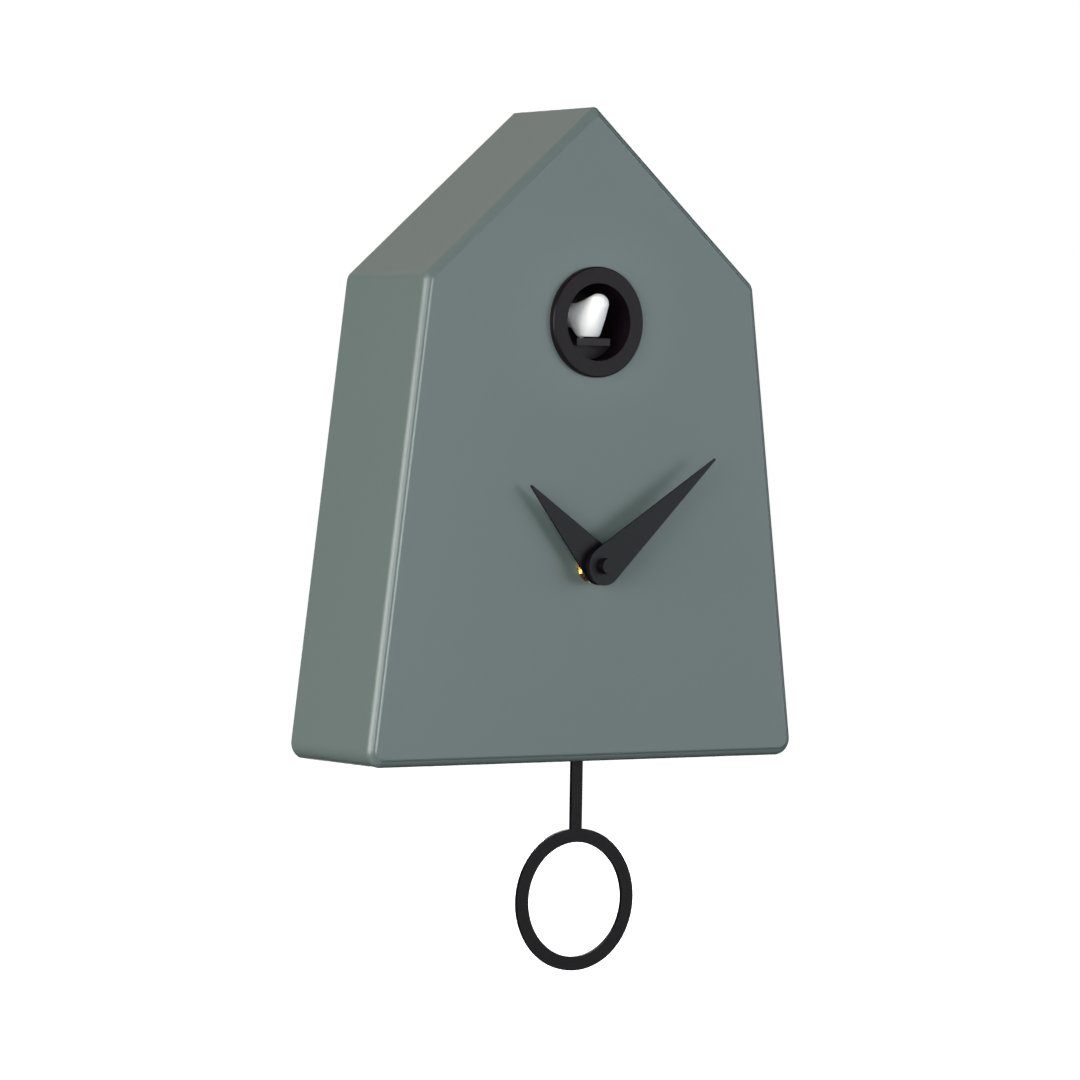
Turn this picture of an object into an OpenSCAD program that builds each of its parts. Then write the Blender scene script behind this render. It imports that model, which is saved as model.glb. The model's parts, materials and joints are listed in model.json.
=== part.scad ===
// Wall-hung cuckoo clock with a house-shaped case, a porthole for the bird and a ring pendulum.
// Millimetres. +Z is up, the dial faces -Y and the wall is the plane y = 0.
// The origin is the round hole of the wall hanger, on the wall plane.

/* [Case] */
// Width across the bottom of the case
case_w = 216.2; // [206:0.1:226]
// Width across the eaves
eave_w = 166.2; // [160:0.1:172]
// Height of the eaves above the bottom
eave_h = 198.6; // [194:0.1:204]
// Height of the ridge above the bottom
apex_h = 270.4; // [266:0.1:275]
// Depth of the case from the wall to the dial
case_d = 60; // [60:1:64]
// Thickness of the front board
front_t = 6; // [5:0.5:7]
// Thickness of the side, roof and bottom boards
wall_t = 8; // [6:0.5:9]
// Radius of the routed edge round the dial
edge_r = 3.6; // [3:0.2:5]
// How far the routed edge turns before it meets the dial, in degrees
edge_sweep = 80; // [45:5:85]
// Corner radius at the bottom
bottom_r = 7; // [4:0.5:9]
// Corner radius at the eaves
eave_r = 5; // [3:0.5:8]
// Corner radius at the ridge
apex_r = 2; // [2:0.5:5]
// Thickness of the back panel
panel_t = 4; // [3:0.5:4]
// Height of the hanger hole above the bottom
hang_h = 230.6; // [226:0.1:234]

/* [Porthole] */
// Height of the porthole's centre above the bottom
port_h = 181.2; // [178:0.2:184]
// Radius of the porthole's bore
port_r = 16; // [16:0.5:17]
// Outer radius of the bezel's flange
flange_r = 22.8; // [21:0.2:25]
// How far the flange stands proud of the dial
flange_t = 2.8; // [2:0.2:4]
// Length of the bezel's tube behind the dial
tube_len = 20; // [16:1:20]

/* [Hands] */
// Height of the hands' axis above the bottom
hub_h = 81.1; // [78:0.1:84]
// Length of the minute hand from axis to tip
minute_len = 71.5; // [60:0.5:76]
// Length of the hour hand from axis to tip
hour_len = 48; // [40:0.5:56]
// Radius of the round end of both hands
hand_r = 8; // [6:0.5:9]
// Angle of the minute hand from twelve, clockwise
minute_angle = 51.6; // [0:0.2:360]
// Angle of the hour hand from twelve, clockwise
hour_angle = 313.2; // [0:0.2:360]

/* [Pendulum] */
// Width of the pendulum's rod
rod_w = 5.4; // [4:0.2:7]
// Thickness of the pendulum's plate
plate_t = 1.6; // [1:0.2:1.8]
// Outer radius of the pendulum's ring
ring_r = 29.5; // [24:0.5:32]
// Width of the ring's band
ring_w = 5.8; // [4:0.2:8]
// How far the ring's centre hangs below the bottom of the case
ring_drop = 57.6; // [50:0.2:70]

/* [Hidden] */

$fn = 64;
eps = 0.05;        // clearance where two fixed pieces meet
free = 0.3;        // clearance round a piece that moves
front_y = -case_d; // the dial
inner_y = front_y + front_t;
hub_z = hub_h - hang_h;
port_z = port_h - hang_h;
base_z = -hang_h;

function up(h) = h - hang_h;
function unit(v) = v / norm(v);
function turn_of(a, b) = let (d = b - a) d > 180 ? d - 360 : d < -180 ? d + 360 : d;

// Corners of the case's outline, each with its radius, seen from the front
outline = [
  [case_w / 2, base_z, bottom_r],
  [eave_w / 2, up(eave_h), eave_r],
  [0, up(apex_h), apex_r],
  [-eave_w / 2, up(eave_h), eave_r],
  [-case_w / 2, base_z, bottom_r],
];
function corner(i) = let (c = outline[(i + 5) % 5]) [c.x, c.y];

// Half the angle inside corner i, and the point that lies d inside both of its sides
function half_angle(i) =
  acos(unit(corner(i - 1) - corner(i)) * unit(corner(i + 1) - corner(i))) / 2;
function inset_corner(i, d) =
  corner(i) + unit(unit(corner(i - 1) - corner(i)) + unit(corner(i + 1) - corner(i)))
    * d / sin(half_angle(i));
function inset_outline(d) = [for (i = [0:4]) inset_corner(i, d)];

// The rounded outline, taken in by d all round
function round_corner(i, d, steps = 8) =
  let (
    r = max(outline[i][2] - d, 0),
    b = inset_corner(i, d),
    u = unit(corner(i - 1) - corner(i)),
    w = unit(corner(i + 1) - corner(i)),
    centre = b + unit(u + w) * r / sin(half_angle(i)),
    reach = r / tan(half_angle(i)),
    t1 = b + u * reach - centre,
    t2 = b + w * reach - centre,
    a1 = atan2(t1.y, t1.x),
    sweep = turn_of(a1, atan2(t2.y, t2.x))
  )
  r > 0.01
    ? [for (k = [0:steps]) let (a = a1 + sweep * k / steps) centre + r * [cos(a), sin(a)]]
    : [b];
function round_outline(d) = [for (i = [0:4]) each round_corner(i, d)];

// Lays a flat shape, drawn in x and z, between the depths y0 and y1
module slab(y0, y1) {
  translate([0, y1, 0]) rotate([90, 0, 0]) linear_extrude(y1 - y0) children();
}
// A round bar along the depth, between y0 and y1
module bar_y(x, z, r, y0, y1, fn = 64) {
  translate([x, y1, z]) rotate([90, 0, 0]) cylinder(r = r, h = y1 - y0, $fn = fn);
}
// A round bar along the width, between x0 and x1
module bar_x(y, z, r, x0, x1, fn = 48) {
  translate([x0, y, z]) rotate([0, 90, 0]) cylinder(r = r, h = x1 - x0, $fn = fn);
}
// A box between two corners
module box(a, b) {
  translate(a) cube(b - a);
}
// A countersunk screw whose head is flush at depth y, driven towards -Y
module countersunk(x, z, y, head_r, shank_r, len) {
  translate([x, y, z]) rotate([90, 0, 0]) difference() {
    union() {
      cylinder(r1 = head_r, r2 = shank_r, h = head_r - shank_r, $fn = 32);
      cylinder(r = shank_r, h = len, $fn = 32);
    }
    for (a = [0, 90]) rotate(a) translate([-head_r * 0.6, -0.3, -1]) cube([head_r * 1.2, 0.6, 1.8]);
  }
}
// The hole such a screw sits in
module screw_hole(x, z, y, head_r, shank_r, len) {
  translate([x, y, z]) rotate([90, 0, 0]) {
    cylinder(r1 = head_r + eps, r2 = shank_r + eps, h = head_r - shank_r, $fn = 32);
    cylinder(r = shank_r + eps, h = len + eps, $fn = 32);
    translate([0, 0, -1]) cylinder(r = head_r + eps, h = 1, $fn = 32);
  }
}

// Involute gear outline with a tooth centred on angle phase
pressure = 20;
function inv(a) = tan(a) * 180 / PI - a;
function tooth_half(teeth, m, r, slack) =
  let (rp = m * teeth / 2, rb = rp * cos(pressure))
  90 / teeth * slack + inv(pressure) - inv(acos(min(1, rb / max(r, rb))));
module gear2d(teeth, m, phase = 0, slack = 0.84) {
  rp = m * teeth / 2;
  root = rp - 1.15 * m;
  tip = rp + 0.8 * m;
  radii = [root, max(root, rp * cos(pressure)), rp, (rp + tip) / 2, tip];
  polygon([
    for (t = [0:teeth - 1]) let (mid = phase + 360 * t / teeth) each concat(
      [for (r = radii) let (a = mid - tooth_half(teeth, m, r, slack)) r * [cos(a), sin(a)]],
      [for (k = [4:-1:0]) let (r = radii[k], a = mid + tooth_half(teeth, m, r, slack)) r * [cos(a), sin(a)]]
    )
  ]);
}
// A gear standing on the depth axis at [x, z], between y0 and y1
module gear_y(at, teeth, m, y0, y1, phase = 0) {
  translate([at.x, y1, at.y]) rotate([90, 0, 0]) linear_extrude(y1 - y0) gear2d(teeth, m, phase);
}
// Phase that puts a gap of the second gear where the first has a tooth, on the line at angle a
function meshing(a, teeth) = a + 180 + 180 / teeth;

// ---- case ----

shaft_hole_r = 4.2;
tube_r = port_r + 1.5;
slot_w = 26;
edge_steps = 6;

module front_board() {
  color("#6b7a77") difference() {
    hull() {
      slab(front_y + edge_r * sin(edge_sweep), inner_y) polygon(round_outline(0));
      for (k = [1:edge_steps]) let (
        a = edge_sweep * k / edge_steps,
        y = front_y + edge_r * (sin(edge_sweep) - sin(a))
      ) slab(y, y + 0.01) polygon(round_outline(edge_r * (1 - cos(a))));
    }
    bar_y(0, port_z, tube_r + eps, front_y - 1, inner_y + 1);
    bar_y(0, hub_z, shaft_hole_r, front_y - 1, inner_y + 1);
    for (at = frame_screw_at) bar_y(at.x, at.y, 1.3 + eps, inner_y - 4, inner_y + 1, 32);
  }
}

// One mitred board of the case: side i of the outline, rebated at the back for the panel
module case_board(i) {
  difference() {
    slab(inner_y, 0) intersection() {
      polygon(round_outline(0));
      polygon([corner(i), corner(i + 1), inset_corner(i + 1, wall_t), inset_corner(i, wall_t)]);
    }
    slab(-panel_t, 1) polygon(inset_outline(wall_t / 2));
  }
}
module right_wall() { color("#6b7a77") case_board(0); }
module right_roof() { color("#6b7a77") case_board(1); }
module left_roof() { color("#6b7a77") case_board(2); }
module left_wall() { color("#6b7a77") case_board(3); }

sensor_at = [45, -30];
module base_board() {
  color("#6b7a77") difference() {
    case_board(4);
    box([-slot_w / 2, inner_y - 1, base_z - 1], [slot_w / 2, inner_y + 5, base_z + wall_t + 1]);
    translate([sensor_at.x, sensor_at.y, base_z - 1]) cylinder(r = 2.6, h = wall_t + 2);
  }
}

// ---- back ----

key_r = 4.5;
key_slot_r = 2.2;
key_rise = 8;
hanger_half = [20, 11];
hanger_t = 1.2;
block_size = 16;
block_front = -24;
panel_screw_at = [for (i = [0:4]) inset_corner(i, 13.5)];
access = [[-33, up(44)], [33, up(116)]];
tray = [[43, up(45)], [77, up(107)]];
speaker_at = [-50, up(150)];
knob_at = [42, up(142)];
switch_at = [62, up(142)];
post_at = [[35, up(128)], [69, up(128)], [35, up(158)], [69, up(158)]];

module rounded_rect(a, b, r) {
  difference() {
    translate(a) square(b - a);
    for (c = [[a.x, a.y, 0], [b.x, a.y, 90], [b.x, b.y, 180], [a.x, b.y, 270]])
      translate([c.x, c.y]) rotate(c.z) difference() {
        translate([-1, -1]) square([r + 1, r + 1]);
        translate([r, r]) circle(r = r, $fn = 32);
      }
  }
}

module back_panel() {
  color("#23262a") difference() {
    slab(-panel_t, 0) polygon(inset_outline(wall_t / 2 + 0.2));
    slab(-panel_t - 1, 1) rounded_rect(access[0], access[1], 5);
    box([tray[0].x - eps, -panel_t - 1, tray[0].y - eps], [tray[1].x + eps, 1, tray[1].y + eps]);
    box([-hanger_half.x - eps, -hanger_t - eps, 3 - hanger_half.y - eps],
      [hanger_half.x + eps, 1, 3 + hanger_half.y + eps]);
    box([-8, -panel_t - 1, -7], [8, 1, 12]);
    for (at = panel_screw_at) screw_hole(at.x, at.y, 0, 3, 1.5, panel_t + 2);
    for (sx = [-1, 1]) screw_hole(sx * 14.5, 3, -hanger_t, 2.4, 1.2, panel_t);
    for (ring = [[0, 1], [6, 6], [12, 12]]) for (k = [0:ring[1] - 1]) let (a = 360 * k / ring[1])
      bar_y(speaker_at.x + ring[0] * cos(a), speaker_at.y + ring[0] * sin(a), 1.8, -panel_t - 1, 1, 24);
    bar_y(knob_at.x, knob_at.y, 8.2, -panel_t - 1, 1);
    box([switch_at.x - 5, -panel_t - 1, switch_at.y - 2], [switch_at.x + 5, 1, switch_at.y + 2]);
  }
}

module glue_blocks() {
  color("tan") for (i = [0:4]) difference() {
    slab(block_front, -panel_t - eps) intersection() {
      polygon(inset_outline(wall_t + eps));
      translate(inset_corner(i, wall_t)) square(2 * block_size, center = true);
    }
    bar_y(panel_screw_at[i].x, panel_screw_at[i].y, 1.5 + eps, -18, 0, 32);
  }
}

module panel_screws() {
  color("silver") for (at = panel_screw_at) countersunk(at.x, at.y, 0, 3, 1.5, 16);
}

module hanger_plate() {
  color("silver") difference() {
    slab(-hanger_t, 0) translate([0, 3]) rounded_rect(-hanger_half, hanger_half, 3);
    bar_y(0, 0, key_r, -hanger_t - 1, 1);
    bar_y(0, key_rise, key_slot_r, -hanger_t - 1, 1);
    box([-key_slot_r, -hanger_t - 1, 0], [key_slot_r, 1, key_rise]);
    for (sx = [-1, 1]) screw_hole(sx * 14.5, 3, 0, 2.4 + hanger_t / 2, 1.2 + hanger_t / 2, 3);
  }
}

module hanger_screws() {
  color("silver") for (sx = [-1, 1]) countersunk(sx * 14.5, 3, -hanger_t, 2.4, 1.2, 6);
}

// ---- porthole ----

bezel_edge = 0.7;
module bezel() {
  color("#1b1a1d") translate([0, 0, port_z]) rotate([90, 0, 0]) rotate_extrude($fn = 96) {
    difference() {
      translate([port_r, -front_y]) square([flange_r - port_r, flange_t]);
      translate([flange_r - bezel_edge, -front_y + flange_t - bezel_edge]) difference() {
        square(bezel_edge + 1);
        circle(r = bezel_edge, $fn = 32);
      }
    }
    translate([port_r, -front_y - tube_len]) square([tube_r - port_r, tube_len + 0.5]);
  }
}

module bezel_lock_ring() {
  color("#1b1a1d") difference() {
    bar_y(0, port_z, 21.5, inner_y + eps, inner_y + 2.4);
    bar_y(0, port_z, tube_r + eps, inner_y - 1, inner_y + 4);
    for (a = [0:60:300])
      bar_y(21.5 * cos(a), port_z + 21.5 * sin(a), 1.6, inner_y - 1, inner_y + 4, 32);
  }
}

// ---- movement ----

gasket_t = 1.4;
move_front = inner_y + gasket_t + 0.1;
move_split = move_front + 8.5;
move_rear = move_front + 17.5;
move_half = 28;
shell_t = 1.2;
move_lo = hub_z - move_half;
move_hi = hub_z + move_half;
bay_z = hub_z + 12.2;
cell_z = hub_z + 19.5;
cell_y = move_front + 9;
cell_r = 7.1;

motion_m = 0.5;
hour_m = 0.4;
second_m = 0.32;
first_m = 0.26;
motion_line = 225;
second_line = -30;
first_line = 25;
motion_at = [0, hub_z] + 12 * [cos(motion_line), sin(motion_line)];
second_at = [0, hub_z] + second_m * 36 * [cos(second_line), sin(second_line)];
first_at = second_at + first_m * 34 * [cos(first_line), sin(first_line)];
rotor_m = 0.2;
rotor_line = -80;
rotor_at = first_at + rotor_m * 34 * [cos(rotor_line), sin(rotor_line)];
lever_z = hub_z - 18.5;
lever_y = move_front + 1.5;
lever_t = 1.3;
magnet_z = lever_z - 3.4;

bush_r = 4;
bush_bore_r = 2.65;
tube_out_r = 2.6;
tube_in_r = 1.76;
arbor_r = 1.7;

module movement_front_shell() {
  color("#202224") difference() {
    box([-move_half, move_front, move_lo], [move_half, move_split, move_hi]);
    box([-move_half + shell_t, move_front + shell_t, move_lo + shell_t],
      [move_half - shell_t, move_split + 1, bay_z - shell_t]);
    box([-move_half + shell_t, move_front + shell_t, bay_z],
      [move_half - shell_t, move_split + 1, move_hi - shell_t]);
    bar_y(0, hub_z, bush_r + eps, move_front - 1, move_front + shell_t + 1);
    box([-5, lever_y - free, move_lo - 1], [5, lever_y + lever_t + free, move_lo + shell_t + 1]);
    bar_y(0, lever_z, 0.8 + eps, move_front + 0.6, move_front + shell_t + 1, 32);
  }
}

module movement_rear_shell() {
  color("#202224") difference() {
    box([-move_half, move_split + eps, move_lo], [move_half, move_rear, move_hi]);
    box([-move_half + shell_t, move_split - 1, move_lo + shell_t],
      [move_half - shell_t, move_rear - shell_t, bay_z - shell_t]);
    box([-move_half + shell_t, move_split - 1, bay_z],
      [move_half - shell_t, move_rear + 1, move_hi - shell_t]);
    bar_y(motion_at.x, motion_at.y, 1.5 + free, move_rear - shell_t - 1, move_rear + 1, 32);
  }
}

module movement_gasket() {
  color("#151515") difference() {
    bar_y(0, hub_z, 11, inner_y + eps, move_front - eps);
    bar_y(0, hub_z, bush_r + 0.2, inner_y - 1, move_front + 1);
  }
}

module threaded_bushing() {
  color("goldenrod") difference() {
    union() {
      bar_y(0, hub_z, bush_r, front_y - 4.2, move_front + shell_t + 0.5);
      bar_y(0, hub_z, 6, move_front + shell_t + eps, move_front + shell_t + 0.5);
    }
    bar_y(0, hub_z, bush_bore_r, front_y - 5, move_front + 5);
  }
}

nut_y = front_y - 0.8;
nut_t = 2.6;
nut_corner_r = 6.9;
washer_r = 7.3;
module dial_washer() {
  color("goldenrod") difference() {
    bar_y(0, hub_z, washer_r, nut_y + eps, front_y - eps);
    bar_y(0, hub_z, bush_r + 0.2, nut_y - 1, front_y + 1);
  }
}

module dial_nut() {
  color("goldenrod") difference() {
    translate([0, nut_y, hub_z]) rotate([90, 30, 0]) cylinder(r = nut_corner_r, h = nut_t, $fn = 6);
    bar_y(0, hub_z, bush_r + eps, nut_y - 4, nut_y + 1);
  }
}

module movement_battery() {
  color("#3c5a4c") {
    bar_x(cell_y, cell_z, cell_r, -24.2, 25.2, 64);
    bar_x(cell_y, cell_z, 2.6, -25.4, -24.2);
  }
}

module battery_contacts() {
  color("silver") {
    box([-move_half + shell_t + eps, cell_y - 4, cell_z - 4], [-25.5, cell_y + 4, cell_z + 4]);
    box([26.2, cell_y - 5, cell_z - 5], [move_half - shell_t - eps, cell_y + 5, cell_z + 5]);
    for (r = [2.2, 3.4, 4.6]) translate([25.75, cell_y, cell_z]) rotate([0, 90, 0])
      rotate_extrude($fn = 32) translate([r, 0]) circle(r = 0.4, $fn = 16);
  }
}

board_y = move_rear - 5.4;
module movement_board() {
  color("darkgreen") difference() {
    box([-26, board_y, move_lo + 2], [-3.5, board_y + 1, hub_z - 11.2]);
    bar_y(-15, move_lo + 14, 0.6, board_y - 1, board_y + 2, 24);
  }
  color("silver") bar_x(board_y - 1.6, move_lo + 4.5, 1.5, -24, -17.5, 32);
  color("black") bar_y(-9, move_lo + 8, 3, board_y - 1, board_y - eps, 32);
}

module motor_coil() {
  color("chocolate") difference() {
    union() {
      bar_x(move_front + 9.6, move_lo + 6, 3.3, 6, 22);
      for (x = [5, 22]) box([x, move_front + 6, move_lo + 2.2], [x + 1, move_front + 13.1, move_lo + 9.6]);
    }
    bar_x(move_front + 9.6, move_lo + 6, 1, 4, 24, 32);
  }
}

module motor_stator() {
  color("silver") difference() {
    box([3.5, move_front + 13.2, move_lo + 2], [25.5, move_front + 14.2, rotor_at.y + 5]);
    bar_y(rotor_at.x, rotor_at.y, 3.2, move_front + 12, move_front + 16, 48);
    box([7, move_front + 12, move_lo + 6], [13, move_front + 16, rotor_at.y + 6]);
  }
}

module motor_rotor() {
  color("dimgray") bar_y(rotor_at.x, rotor_at.y, 2.6, move_front + 12, move_front + 15.2, 48);
  color("white") {
    bar_y(rotor_at.x, rotor_at.y, 0.5, move_front + 5, move_front + 16, 24);
    gear_y(rotor_at, 8, rotor_m, move_front + 9, move_front + 12, meshing(rotor_line, 8));
  }
}

module first_wheel() {
  color("white") {
    gear_y(first_at, 8, first_m, move_front + 8.6, move_front + 10.4, meshing(first_line, 8));
    gear_y(first_at, 60, rotor_m, move_front + 11, move_front + 11.8, rotor_line);
    bar_y(first_at.x, first_at.y, 0.5, move_front + 5.2, move_front + 16, 24);
  }
}

module second_wheel() {
  color("white") {
    gear_y(second_at, 8, second_m, move_front + 6.2, move_front + 8.6, meshing(second_line, 8));
    gear_y(second_at, 60, first_m, move_front + 9.1, move_front + 9.9, first_line);
    bar_y(second_at.x, second_at.y, 0.6, move_front + 5.2, move_front + 16, 24);
  }
}

arbor_tip = front_y - 11.5;
module minute_arbor() {
  color("silver") bar_y(0, hub_z, arbor_r, arbor_tip, move_front + 16);
  color("white") {
    gear_y([0, hub_z], 12, motion_m, move_front + 3.6, move_front + 5.6, motion_line);
    gear_y([0, hub_z], 64, second_m, move_front + 6.9, move_front + 7.9, second_line);
  }
}

module motion_wheel() {
  color("white") {
    gear_y(motion_at, 36, motion_m, move_front + 4.1, move_front + 5.1, meshing(motion_line, 36));
    gear_y(motion_at, 12, hour_m, move_front + 1.5, move_front + 4.1, meshing(motion_line, 12));
    bar_y(motion_at.x, motion_at.y, 1.5, move_front + 5, move_rear + 0.4, 32);
  }
}

module setting_knob() {
  color("#3a3d40") difference() {
    bar_y(motion_at.x, motion_at.y, 6, move_rear + 0.5, move_rear + 5, 64);
    for (a = [0:20:340])
      bar_y(motion_at.x + 6.3 * cos(a), motion_at.y + 6.3 * sin(a), 0.7, move_rear, move_rear + 6, 16);
  }
}

tube_tip = front_y - 7;
module hour_wheel() {
  color("white") difference() {
    union() {
      gear_y([0, hub_z], 48, hour_m, move_front + 1.9, move_front + 3.1, motion_line);
      bar_y(0, hub_z, tube_out_r, tube_tip, move_front + 2);
    }
    bar_y(0, hub_z, tube_in_r, tube_tip - 1, move_front + 4);
  }
}

// ---- hands ----

hand_t = 1;
hour_hand_y = front_y - 6.4;
minute_hand_y = front_y - 9.9;
tip_w = 0.6;
boss_r = 7.6;
boss_t = 2.2;
boss_bore_r = 3.1;

// A tapered blade with a round end, pointing up: its sides are tangent to the round end
module blade2d(len) {
  lean = asin((hand_r - tip_w / 2) / len);
  circle(r = hand_r, $fn = 96);
  polygon([
    hand_r * [-cos(lean), sin(lean)], [-tip_w / 2, len], [tip_w / 2, len],
    hand_r * [cos(lean), sin(lean)],
  ]);
}

module hand(len, angle, y, collar_r, collar_t, bore_r) {
  difference() {
    union() {
      slab(y, y + hand_t) translate([0, hub_z]) rotate(-angle) blade2d(len);
      bar_y(0, hub_z, collar_r, y + hand_t / 2, y + hand_t + collar_t);
    }
    bar_y(0, hub_z, bore_r, y - 1, y + hand_t + collar_t + 1);
  }
}

module hour_hand() {
  color("#1b1a1d") hand(hour_len, hour_angle, hour_hand_y, 4.4, 0.9, tube_out_r + 0.02);
}
module minute_hand() {
  back = minute_hand_y + hand_t;
  color("#1b1a1d") {
    hand(minute_len, minute_angle, minute_hand_y, 3.2, 1.3, arbor_r + 0.02);
    difference() {
      bar_y(0, hub_z, boss_r, back - hand_t / 2, back + boss_t);
      bar_y(0, hub_z, boss_bore_r, back - hand_t, back + boss_t + 1);
    }
  }
}
module hand_cap() {
  color("#1b1a1d") difference() {
    bar_y(0, hub_z, 3.3, minute_hand_y - 3.1, minute_hand_y - eps, 64);
    bar_y(0, hub_z, arbor_r + 0.02, arbor_tip - 0.1, minute_hand_y + 1, 64);
  }
}

// ---- pendulum ----

hook_z = lever_z - 16;
hook_w = 2.4;
plate_y = lever_y - 0.1 - plate_t;
ring_z = base_z - ring_drop;

module pendulum_coil() {
  color("chocolate") difference() {
    bar_y(0, magnet_z, 4.4, move_front + 6, move_front + 8.4, 48);
    bar_y(0, magnet_z, 1.5, move_front + 5, move_front + 9, 32);
  }
}

module pendulum_pin() {
  color("silver") bar_y(0, lever_z, 0.8, move_front + 0.7, lever_y + lever_t + 0.7, 32);
}

module pendulum_lever() {
  color("white") difference() {
    union() {
      slab(lever_y, lever_y + lever_t) {
        translate([0, lever_z]) circle(r = 3, $fn = 48);
        translate([-2, hook_z - 2.5]) square([4, lever_z - hook_z + 2.5]);
      }
      box([-hook_w / 2, plate_y - 0.8, hook_z - hook_w / 2],
        [hook_w / 2, lever_y + 0.5, hook_z + hook_w / 2]);
    }
    bar_y(0, lever_z, 0.8 + 0.06, lever_y - 1, lever_y + lever_t + 1, 32);
  }
}

module pendulum_magnet() {
  color("dimgray") bar_y(0, magnet_z, 2.6, lever_y + lever_t + eps, lever_y + lever_t + 2, 32);
}

module pendulum() {
  color("#1b1a1d") slab(plate_y, plate_y + plate_t) difference() {
    union() {
      translate([0, hook_z]) circle(r = 3.4, $fn = 48);
      translate([-rod_w / 2, ring_z + ring_r - 1]) square([rod_w, hook_z - ring_z - ring_r + 1]);
      translate([0, ring_z]) circle(r = ring_r, $fn = 128);
    }
    translate([-hook_w / 2 - 0.1, hook_z - hook_w / 2 - 0.1]) square(hook_w + 0.2);
    translate([0, ring_z]) circle(r = ring_r - ring_w, $fn = 128);
  }
}

// ---- cuckoo drive ----

deck_top = port_z - 6.6;
deck_t = 3;
deck_bottom = deck_top - deck_t;
deck_half = 8.4;
tail_half = 10.5;
deck_front = front_y + 0.8;
deck_back = -14;
skirt_r = port_r - 0.5;
skirt_y = front_y + 6;
frame_front = front_y + tube_len + 0.6;
frame_back = -8;
rack_m = 0.8;
rack_line = deck_bottom - 1.5;
pinion_teeth = 14;
pinion_y = -30;
pinion_z = rack_line - rack_m * pinion_teeth / 2;
wheel_m = 0.5;
wheel_teeth = 24;
drive_teeth = 10;
drive_z = pinion_z - wheel_m * (wheel_teeth + drive_teeth) / 2;
shelf_z = drive_z - 8.2;
frame_screw_at = [[-14, shelf_z - 7], [14, shelf_z - 7]];

// The rack's teeth, in y and z, below the pitch line of the deck
module rack2d(y0, teeth) {
  pitch = PI * rack_m;
  for (k = [0:teeth - 1]) let (c = y0 + k * pitch, half = pitch * 0.21) polygon([
    [c - half - 1.3 * rack_m * tan(pressure), rack_line + 1.3 * rack_m],
    [c - half + 0.8 * rack_m * tan(pressure), rack_line - 0.8 * rack_m],
    [c + half - 0.8 * rack_m * tan(pressure), rack_line - 0.8 * rack_m],
    [c + half + 1.3 * rack_m * tan(pressure), rack_line + 1.3 * rack_m],
  ]);
}

module bird_carriage() {
  pitch = PI * rack_m;
  color("#1b1a1d") difference() {
    union() {
      box([-deck_half, deck_front, deck_bottom], [deck_half, deck_back, deck_top]);
      box([-tail_half, frame_front - 3.5, deck_bottom], [tail_half, deck_back, deck_top]);
      slab(skirt_y, skirt_y + 1.5) intersection() {
        translate([0, port_z]) circle(r = skirt_r, $fn = 96);
        translate([-skirt_r, port_z - skirt_r]) square([2 * skirt_r, deck_bottom + 0.5 - port_z + skirt_r]);
      }
      box([-2.5, frame_front - 3.5, deck_bottom - 0.6], [2.5, deck_back, deck_bottom + 0.5]);
      translate([-2.5, 0, 0]) rotate([90, 0, 90]) linear_extrude(5)
        rack2d(pinion_y - 2 * pitch, 9);
    }
    bar_z(0, bird_screw_y, 1.2 + eps, deck_bottom - 1, deck_top + 1);
  }
}

bird_screw_y = front_y + 10;
module bar_z(x, y, r, z0, z1, fn = 32) {
  translate([x, y, z0]) cylinder(r = r, h = z1 - z0, $fn = fn);
}

module lump(depth, rise, across, along, tall) {
  translate([0, front_y + depth, deck_top + rise]) scale([across, along, tall]) sphere(r = 1, $fn = 28);
}
module bird() {
  color("white") difference() {
    union() {
      hull() {
        lump(-2.1, 14, 4.3, 4.3, 4.3);
        lump(3, 7, 6, 6.2, 6.4);
      }
      hull() {
        lump(3.2, 8, 6, 6.4, 6.4);
        lump(13, 9, 5.6, 7, 5.4);
      }
      hull() {
        lump(13, 9, 5.6, 7, 5.4);
        lump(22, 10, 3.6, 5, 2.6);
      }
    }
    box([-20, front_y - 20, port_z - 20], [20, 0, deck_top + eps]);
    bar_z(0, bird_screw_y, 1.2 + eps, deck_top - 1, deck_top + 7);
  }
}

module bird_screw() {
  color("silver") {
    bar_z(0, bird_screw_y, 1.2, deck_bottom - 1, deck_top + 6);
    bar_z(0, bird_screw_y, 2.2, deck_bottom - 1.4, deck_bottom - eps);
  }
}

module cuckoo_frame() {
  color("#303338") difference() {
    union() {
      box([-20, inner_y + eps, shelf_z], [20, frame_back, shelf_z + 3]);
      box([-20, inner_y + eps, shelf_z - 13], [20, inner_y + 3, shelf_z + 3]);
      for (sx = [-1, 1]) box(
        [sx > 0 ? 9.6 : -13, frame_front, shelf_z + 2],
        [sx > 0 ? 13 : -9.6, frame_back, deck_top + 4]);
    }
    box([-tail_half - free, frame_front - 1, deck_bottom - free],
      [tail_half + free, frame_back + 1, deck_top + free]);
    bar_x(pinion_y, pinion_z, 1 + eps, -20, 20, 32);
    bar_x(pinion_y, drive_z, 2.2, 5, 20, 32);
    for (at = frame_screw_at) bar_y(at.x, at.y, 1.3 + eps, inner_y - 1, inner_y + 4, 32);
  }
}

module frame_screws() {
  color("silver") for (at = frame_screw_at) {
    bar_y(at.x, at.y, 1.3, inner_y - 3.9, inner_y + 3.5, 32);
    bar_y(at.x, at.y, 2.6, inner_y + 3 + eps, inner_y + 4.6, 32);
  }
}

// Gears that turn on the width axis, at depth y and height z
module gear_x(y, z, teeth, m, x0, x1, phase) {
  translate([x0, y, z]) rotate([90, 0, 90]) linear_extrude(x1 - x0) gear2d(teeth, m, phase);
}

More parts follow.
